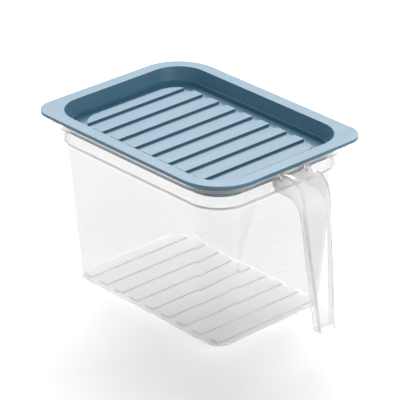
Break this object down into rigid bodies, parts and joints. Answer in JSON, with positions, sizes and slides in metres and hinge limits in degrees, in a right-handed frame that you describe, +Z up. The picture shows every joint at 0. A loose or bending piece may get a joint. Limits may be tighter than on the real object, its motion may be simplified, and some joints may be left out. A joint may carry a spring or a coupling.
{
  "type": "lidded fridge bin",
  "caption": "Clear tapered fridge bin with a coloured drop-in tray lid, ridged inside, and a clear hanging pull handle at one end.",
  "frame": {"origin": "centre of the bin's base, on the plane it rests on", "axes": "+X along the length towards the handle, +Y across, +Z up"},
  "size_m": [0.3089, 0.194, 0.18],
  "materials": {
    "clear_bin": "clear injection-moulded polypropylene, smooth with a faint haze",
    "blue_lid": "dusty blue injection-moulded polypropylene, fine satin texture",
    "clear_handle": "clear injection-moulded plastic, polished"
  },
  "bodies": {
    "bin": {"bin_body": "clear_bin", "handle": "clear_handle"},
    "lid": {"lid": "blue_lid"}
  },
  "joints": [
    {"name": "lid_lift", "type": "slide", "parent": "bin", "child": "lid", "axis": [0, 0, 1], "range_m": [0, 0.1]}
  ]
}
